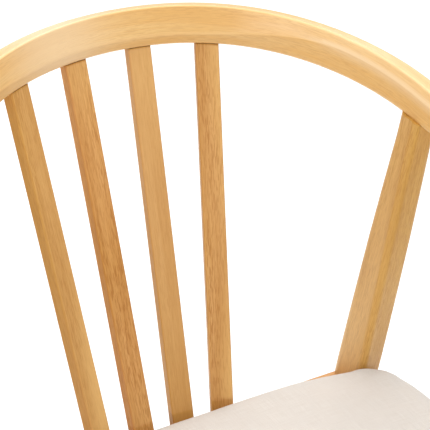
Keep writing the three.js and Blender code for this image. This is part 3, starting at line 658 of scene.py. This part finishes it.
# Painted light on the legs' inner faces and painted shade on their fronts, at these heights.
LEG_INNER_PAINTED_LIGHT = (0.50, 0.10)
LEG_FRONT_PAINTED_SHADE = (-0.45, -0.90)
LEG_TOP_SHADE = -1.4
LEG_FACE_ANGLES = (-1.2, -0.6, 0.5, 1.0)  # zero on the inner face, a quarter turn on the front
LEG_FOOT_BEVEL = 0.0012
SLAT_TOP_MARGIN = 0.012  # where the straight part stops, under the rail
LEG_TOP_MARGIN = 0.018


def under_rail(start, direction):
    """How far along a direction from a start the rail's underside is."""
    _, _, _, distance = rail_surface.ray_cast(Vector(start), Vector(direction))
    return distance


def reach_to_rail(ring, direction):
    """How far each point of a ring is below the rail. A point beside the rail takes its neighbours' reach."""
    found = [under_rail(point, direction) for point in ring]
    usual = np.median([reach for reach in found if reach is not None])
    good = [i for i, reach in enumerate(found) if reach is not None and abs(reach - usual) < BESIDE_RAIL]
    values = [found[i] for i in good]
    count = len(ring)
    places = [i + turn * count for turn in (-1, 0, 1) for i in good]
    return np.interp(np.arange(count), places, values * 3)


def bar_piece(name, axis, sections, heights, tone_at, top_shade, material, nodes, foot_bevel):
    """A bar that stands on an axis, from its lowest height up to the rail, where its top follows the rail.

    Sections gives the points of the section at a height, and tone_at their tones. The tone falls to top_shade
    in the joint under the rail.
    """
    rings, grain, edges, tones = [], [], [], []
    direction = (axis(1.0) - axis(0.0)).normalized()
    low = heights[0]
    for height in heights:
        section, edge = sections(height)
        inset = max(0, foot_bevel - (height - low))
        placed = section * (1 - inset / np.abs(section).max())
        rings.append(np.column_stack([placed, np.zeros(len(placed))]) + np.array(axis(height)))
        grain.append(np.column_stack([section, np.full(len(section), height)]))
        edges.append(edge)
        tones.append(tone_at(height))
    base, base_grain, base_edge, base_tone = rings[-1], grain[-1], edges[-1], tones[-1]
    reach = reach_to_rail(base, direction) - GAP
    for short, shade in ((0.0080, 0), (0.0040, 0), (0.0016, 0), (0.0008, 0.3 * top_shade), (0, top_shade)):
        lift = np.maximum(reach - short, 0.0001)[:, None]
        rings.append(base + lift * np.array(direction))
        grain.append(base_grain + lift * np.array((0, 0, 1)))
        edges.append(base_edge)
        tones.append(np.minimum(base_tone, shade) if shade else base_tone)
    arrays = (np.array(values) for values in (rings, grain, edges, tones))
    return loft_piece(name, *arrays, material, "wood", nodes)


def slat_piece(name, position, side, tones, material, nodes):
    """A slat from the rear seat rail to the bent rail."""
    station = side * SLAT_ALONG_RAIL[position]
    under = rail_underside(station)
    foot = Vector((side * SLAT_FOOT_X[position], SLAT_FOOT_Y, SLAT_FOOT_Z))
    _, direction, _, _ = rail_at(station)
    yaw = math.atan2(side * direction[1], side * direction[0])
    slope = (under - foot) / (under.z - foot.z)
    turn = np.array(((math.cos(yaw), math.sin(yaw)), (-math.sin(yaw), math.cos(yaw))))
    section, edge = rounded_rectangle(SLAT_WIDE, SLAT_DEEP, SLAT_EDGE)

    def tone_at(height):
        side_face = np.abs(section[:, 0]) > SLAT_WIDE / 2 - SLAT_EDGE / 2
        across = SLAT_CROSS_TONES[position] * section[:, 0] / SLAT_WIDE
        foot_shade = np.interp(height, SLAT_FOOT_HEIGHTS, (SLAT_FOOT_SHADE, 0))
        face_tone = np.interp(height, SLAT_TONE_HEIGHTS, tones) + foot_shade + across
        # Painted shade on the side faces.
        return face_tone + np.where(side_face, SLAT_SIDE_PAINTED_SHADE, 0)

    heights = np.linspace(FRAME_TOP + GAP, under.z - SLAT_TOP_MARGIN, 160)
    return bar_piece(
        name, lambda z: foot + slope * (z - foot.z), lambda z: (section @ turn, edge), heights, tone_at,
        SLAT_TOP_SHADE, material, nodes, 0,
    )


def leg_piece(name, low, high, table, side, material, nodes):
    """A tapered leg whose sections all stand on one leaning axis. Its inner face is painted paler as painted
    light, and its front darker as painted shade.
    """
    slope = (high - low) / (high.z - low.z)
    columns = np.array(table).T
    mirror = np.array((side, 1))

    def axis(z):
        point = low + slope * (z - low.z)
        return Vector((side * point.x, point.y, z))

    def shape(z):
        wide, deep, radius, turn = (np.interp(z, columns[0], column) for column in columns[1:])
        angle = math.radians(turn)
        points, edge = rounded_rectangle(wide, deep, radius, 8)
        spin = np.array(((math.cos(angle), math.sin(angle)), (-math.sin(angle), math.cos(angle))))
        return points, (points @ spin) * mirror, edge

    def section(z):
        return shape(z)[1:]

    def tone_at(height):
        points = shape(height)[0]
        angle = np.arctan2(-points[:, 1], -points[:, 0])
        inner = np.interp(height, LEG_TONE_HEIGHTS, LEG_INNER_PAINTED_LIGHT)
        front = np.interp(height, LEG_TONE_HEIGHTS, LEG_FRONT_PAINTED_SHADE)
        # Painted light on the inner face, painted shade on the front.
        return np.interp(angle, LEG_FACE_ANGLES, (0.0, inner, inner, front))

    start = table[0][0]
    heights = np.concatenate([
        start + LEG_FOOT_BEVEL * np.linspace(0, 1, 4),
        np.linspace(start + 0.004, high.z - LEG_TOP_MARGIN, 70),
    ])
    return bar_piece(name, axis, section, heights, tone_at, LEG_TOP_SHADE, material, nodes, LEG_FOOT_BEVEL)


def tinted_honey(tint):
    """The honey wood's three colours, multiplied by a tint."""
    return [[a * b for a, b in zip(colour, tint)] + [1] for colour in (HONEY, HONEY_DARK, HONEY_PORE)]


# Each slat is its own board: how strong its pores, streaks and figure are, its tint, and its tones going up.
SLAT_LOOKS = [
    (0.45, 0.45, 0.50, (0.935, 0.965, 1.11), (0.80, 0.05, -0.10)),
    (0.85, 0.60, 0.70, (0.945, 0.920, 1.07), (0.40, -0.55, 0.40)),
    (0.20, 0.30, 0.45, (0.920, 0.955, 1.20), (-0.50, -0.10, 0.30)),
    (0.75, 0.55, 0.60, (0.940, 0.955, 1.17), (0.45, -0.12, 0.30)),
]
for index, (position, side) in enumerate([(1, -1), (0, -1), (0, 1), (1, 1)]):
    pores, streaks, figure, tint, tones = SLAT_LOOKS[index]
    board = wood_material(
        f"slat_wood_{index + 1}", *tinted_honey(tint), pores=pores, streaks=streaks, figure=figure,
        blush=SLAT_BLUSH, **MATT,
    )
    slat_piece(f"flat_slat_{index + 1}", position, side, tones, board, [f"slat_{index + 1}"])

LEG_TINT = (0.965, 1.03, 0.98)
leg_wood = wood_material("leg_wood", *tinted_honey(LEG_TINT), pores=0.60, figure=0.6, hair=0.2, **SATIN)
rear_top = rail_underside(POST_STATION + REAR_LEG_ALONG_RAIL)
front_top = rail_underside(RAIL_END - FRONT_LEG_FROM_END)
for side, word in ((1, "right"), (-1, "left")):
    rear_node, front_node = f"rear_leg_{word}", f"front_leg_{word}"
    leg_piece(f"back_leg_{word}", REAR_LEG_SEAT, rear_top, REAR_LEG_SECTIONS, side, leg_wood, [rear_node])
    leg_piece(f"fore_leg_{word}", FRONT_LEG_FOOT, front_top, FRONT_LEG_SECTIONS, side, leg_wood, [front_node])

# ---------------------------------------------------------------- seat pad and lining

# Half of the pad's outline: corner points, and how far each one's rounding reaches.
PAD_CORNERS = [
    (0.120, 0.1529, 0.058), (0.208, 0.144, 0.030), (0.2205, 0.095, 0.020),
    (0.2294, -0.163, 0.030), (0.2314, -0.246, 0.046), (0.100, -0.256, 0.070),
]
PAD_BOTTOM = FRAME_TOP + GAP
PAD_CORNER_TOP = 0.4682
PAD_ARCH = 0.0042  # how far the rear and front edges arch up between the corners
PAD_ARCH_FROM = 0.115  # half the width that is at full height
PAD_ARCH_TO = 0.205
PAD_CENTRE_TOP = 0.4765
PAD_START = 0.0016  # how much smaller the pad is before it swells
PAD_OPENING = 0.028  # the cover's margin, turned under the board
LINING_MARGIN = 0.0285
RECESS = 0.00115  # of the underside over the lining
RECESS_STEP = 0.0025  # how wide its edge is
PAD_VOXEL = 0.0042
SWELL_CAP = 0.0030
SWELL_PRESSURE = 4
SWELL_FRAMES = 20
LINING_THICK = 0.0003
PUCKER = 0.00012
PUCKER_REACH = 0.04  # how far in the puckers go, as a fraction of the lining's plan

# The pad's profile: a margin inside the outline, and a height above the bottom or below the edge's top.
PAD_UNDER = [(0.0042, 0.0), (0.0016, 0.0009), (0.0004, 0.0030), (0.0, 0.0070)]
PAD_SHOULDER = [(0.0, 0.0100), (0.0007, 0.0062), (0.0024, 0.0034), (0.0052, 0.0016), (0.0095, 0.0005)]
PAD_PLATEAU = 0.015
BATCH = 4000  # points measured at a time


def pad_outline(count=360):
    """The pad's whole outline as evenly spaced points."""
    corners = PAD_CORNERS + [(-x, y, reach) for x, y, reach in reversed(PAD_CORNERS)]
    points = []
    for i, (x, y, reach) in enumerate(corners):
        here = np.array((x, y))
        ends = []
        for other in (corners[i - 1], corners[(i + 1) % len(corners)]):
            away = np.array(other[:2]) - here
            ends.append(here + away / np.linalg.norm(away) * reach)
        t = np.linspace(0, 1, 40)[:, None]
        points.extend((1 - t) ** 2 * ends[0] + 2 * t * (1 - t) * here + t ** 2 * ends[1])
    points = np.array(points + points[:1])
    lengths = np.concatenate([[0], np.cumsum(np.linalg.norm(np.diff(points, axis=0), axis=1))])
    places = np.linspace(0, lengths[-1], count, endpoint=False)
    return np.column_stack([np.interp(places, lengths, points[:, axis]) for axis in (0, 1)])


OUTLINE = pad_outline()
tangents = np.roll(OUTLINE, -1, axis=0) - np.roll(OUTLINE, 1, axis=0)
tangents /= np.linalg.norm(tangents, axis=1)[:, None]
OUTLINE_OUT = np.column_stack([-tangents[:, 1], tangents[:, 0]])


def pad_ring(margin, z, factor=1.0):
    """The outline drawn in by a margin, then towards the middle by a factor, at one height."""
    plan = (OUTLINE - margin * OUTLINE_OUT) * factor
    return np.column_stack([plan, np.broadcast_to(z, len(plan))])


def edge_distance(points):
    """How far inside the pad's outline points are in plan, and the outline's outward direction there."""
    distances = np.empty(len(points))
    outward = np.empty((len(points), 2))
    for start in range(0, len(points), BATCH):
        part = points[start:start + BATCH, :2]
        gaps = part[:, None] - OUTLINE[None]
        nearest = (gaps ** 2).sum(2).argmin(1)
        outward[start:start + BATCH] = OUTLINE_OUT[nearest]
        distances[start:start + BATCH] = -(gaps[np.arange(len(part)), nearest] * OUTLINE_OUT[nearest]).sum(1)
    return distances, outward


def vertex_array(mesh):
    """A mesh's vertices as an array."""
    flat = np.empty(len(mesh.vertices) * 3, np.float32)
    mesh.vertices.foreach_get("co", flat)
    return flat.reshape(-1, 3).astype(float)


def set_vertices(mesh, points):
    """Moves a mesh's vertices to new places."""
    mesh.vertices.foreach_set("co", points.astype(np.float32).ravel())
    mesh.update()


def apply_modifiers(piece):
    """Replaces a piece's mesh by what its modifiers make of it."""
    graph = bpy.context.evaluated_depsgraph_get()
    made = bpy.data.meshes.new_from_object(piece.evaluated_get(graph))
    piece.modifiers.clear()
    piece.data = made


def plain_object(name, points, faces):
    """A new object in the scene from points and faces."""
    mesh = bpy.data.meshes.new(name)
    mesh.from_pydata([tuple(point) for point in points], [], faces)
    made = bpy.data.objects.new(name, mesh)
    bpy.context.scene.collection.objects.link(made)
    return made


def pad_edge_top(points):
    """The height of the pad's edge near points: it arches up between the corners."""
    share = np.clip((PAD_ARCH_TO - np.abs(points[:, 0])) / (PAD_ARCH_TO - PAD_ARCH_FROM), 0, 1)
    return PAD_CORNER_TOP + PAD_ARCH * share * share * (3 - 2 * share)


def pad_form(name):
    """The pad before it swells: a closed form of rings with a fan at the middle of its top and underside."""
    rings = [pad_ring(margin + PAD_START, PAD_BOTTOM + rise) for margin, rise in PAD_UNDER]
    edge_top = pad_edge_top(OUTLINE) - PAD_START
    rings += [pad_ring(margin + PAD_START, edge_top - drop) for margin, drop in PAD_SHOULDER]
    centre_top = PAD_CENTRE_TOP - PAD_START
    for factor in np.linspace(1, 0.05, 16):
        rings.append(pad_ring(PAD_PLATEAU, centre_top + (edge_top - centre_top) * factor ** 2, factor))
    count = len(OUTLINE)
    points = np.vstack(rings + [rings[0].mean(0)[None], rings[-1].mean(0)[None]])
    faces, _ = loft_faces(len(rings), count)
    if signed_volume(points, faces) < 0:
        faces = [face[::-1] for face in faces]
    return plain_object(name, points, faces)


def swell(piece, cap):
    """Swells a closed piece as pressurised cloth with a held underside, and caps how far its points move."""
    scene = bpy.context.scene
    start = vertex_array(piece.data)
    held = piece.vertex_groups.new(name="held")
    held.add([int(i) for i in np.nonzero(start[:, 2] < PAD_BOTTOM + 0.0008)[0]], 1.0, "REPLACE")
    cloth = piece.modifiers.new("cloth", "CLOTH")
    settings = cloth.settings
    settings.quality = 6
    settings.use_pressure = True
    settings.uniform_pressure_force = SWELL_PRESSURE
    settings.effector_weights.gravity = 0
    settings.vertex_group_mass = "held"
    settings.tension_stiffness = settings.compression_stiffness = 12
    settings.bending_stiffness = 1.2
    for number in range(1, SWELL_FRAMES + 1):
        scene.frame_set(number)
    apply_modifiers(piece)
    scene.frame_set(1)
    moved = vertex_array(piece.data) - start
    reach = np.linalg.norm(moved, axis=1)
    moved *= (np.minimum(reach, cap * np.tanh(reach / cap)) / np.maximum(reach, 1e-9))[:, None]
    set_vertices(piece.data, start + moved)


def add_cushion():
    """The seat pad in its fabric: swollen, smooth and flat underneath, with a recess over the lining."""
    cushion = pad_form("seat_cushion")
    remesh = cushion.modifiers.new("remesh", "REMESH")
    remesh.mode = "VOXEL"
    remesh.voxel_size = PAD_VOXEL
    apply_modifiers(cushion)
    cushion.data.name = "seat_cushion"
    swell(cushion, SWELL_CAP)
    smooth = cushion.modifiers.new("smooth", "SMOOTH")
    smooth.iterations = 2
    smooth.factor = 0.5
    cushion.modifiers.new("subdivision", "SUBSURF").levels = 1
    apply_modifiers(cushion)
    mesh = cushion.data
    points = vertex_array(mesh)
    inside, outward = edge_distance(points)
    under = points[:, 2] < PAD_BOTTOM + 0.0012
    step = np.clip((inside - PAD_OPENING + 0.001) / RECESS_STEP, 0, 1)
    flat = PAD_BOTTOM + RECESS * step * step * (3 - 2 * step)
    points[:, 2] = np.where(under & (inside > 0.006), flat, np.maximum(points[:, 2], PAD_BOTTOM))
    set_vertices(mesh, points)

    drop = np.clip(pad_edge_top(points) - points[:, 2], 0, None) + np.where(under, 2 * inside, 0)
    weave = np.column_stack([points[:, :2] + outward * drop[:, None], points[:, 2] * 0])
    attribute = mesh.attributes.new("weave", "FLOAT_VECTOR", "POINT")
    attribute.data.foreach_set("vector", weave.astype(np.float32).ravel())
    mesh.polygons.foreach_set("use_smooth", np.ones(len(mesh.polygons), bool))
    mesh.materials.clear()
    mesh.materials.append(linen)
    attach(cushion, "root")
    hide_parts("seat_cover", "seat_foam")


def add_lining():
    """The thin dust lining, stretched under the board, with soft puckers along its edge."""
    low = PAD_BOTTOM + GAP
    high = low + LINING_THICK
    factors = np.concatenate([[1, 0.995, 0.985], np.linspace(0.96, 0.05, 24)])
    along = np.arange(len(OUTLINE))
    pucker = PUCKER * np.sin(along * 0.9) * np.sin(along * 0.37 + 1)
    sheets = []
    for z in (low, high):
        for factor in factors:
            ring = pad_ring(LINING_MARGIN, z, factor)
            ring[:, 2] += np.abs(pucker) * math.exp(-(1 - factor) / PUCKER_REACH)
            sheets.append(ring)
    rings = sheets[len(factors) - 1::-1] + sheets[len(factors):]
    points = np.vstack(rings + [rings[0].mean(0)[None], rings[-1].mean(0)[None]])
    faces, _ = loft_faces(len(rings), len(OUTLINE))
    if signed_volume(points, faces) < 0:
        faces = [face[::-1] for face in faces]
    sheet = plain_object("dust_lining", points, faces)
    sheet.data.polygons.foreach_set("use_smooth", np.ones(len(sheet.data.polygons), bool))
    sheet.data.materials.append(lining)
    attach(sheet, "root")
    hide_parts("dust_cover")


linen = linen_material()
lining = speckled_material("lining", (0.022, 0.022, 0.023, 1), (0.045, 0.045, 0.047, 1), 1400, Roughness=0.9)
add_cushion()
add_lining()

# ---------------------------------------------------------------- carried-over nodes

# The seat frame's wood is darker than the slats' and legs' as painted shade.
frame_woods = {
    axis: wood_material(
        f"frame_wood_{axis.lower()}", HONEY_PAINTED_SHADE, HONEY_DARK, HONEY_PORE, pores=0.6, figure=0.7, along=axis,
        attribute=None, **SATIN,
    )
    for axis in "XY"
}
plywood = wood_material(
    "plywood", (0.55, 0.36, 0.18, 1), (0.42, 0.26, 0.12, 1), (0.2, 0.1, 0.04, 1), attribute=None,
    roughness=0.7,
)
steel = speckled_material(
    "steel", (0.55, 0.55, 0.53, 1), (0.42, 0.42, 0.41, 1), 900, Metallic=1.0, Roughness=0.34,
)
nylon = speckled_material("glide", (0.16, 0.09, 0.045, 1), (0.10, 0.055, 0.03, 1), 700, Roughness=0.5)
NODE_MATERIALS = {
    "seat_rail_rear": frame_woods["X"],
    "seat_rail_front": frame_woods["X"],
    "seat_rail": frame_woods["Y"],
    "corner_block_screw": steel,
    "corner_block": frame_woods["X"],
    "arm_dowel": frame_woods["Y"],
    "seat_screw": steel,
    "leg_bolt": steel,
    "insert_nut": steel,
    "seat_board": plywood,
    "floor_glide": nylon,
}
RAIL_COPIES = {
    "seat_rail_rear": "rear_seat_rail", "seat_rail_front": "front_seat_rail",
    "seat_rail_right": "side_seat_rail_right", "seat_rail_left": "side_seat_rail_left",
}


def copy_node(node_name, name, material):
    """A copy of a CAD node in a finish of its own, which stands for it."""
    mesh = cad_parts[node_name].data.copy()
    mesh.name = name
    mesh.materials.clear()
    mesh.materials.append(material)
    piece = bpy.data.objects.new(name, mesh)
    bpy.context.scene.collection.objects.link(piece)
    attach(piece, "root")
    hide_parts(node_name)


for node_name, name in RAIL_COPIES.items():
    copy_node(node_name, name, frame_woods["X" if "rear" in node_name or "front" in node_name else "Y"])
for node_name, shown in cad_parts.items():
    for start, finish in NODE_MATERIALS.items():
        if node_name.startswith(start):
            for material_slot in shown.material_slots:
                material_slot.material = finish
            break

# ---------------------------------------------------------------- camera and stage

add_camera()
add_stage()

bpy.context.view_layer.update()
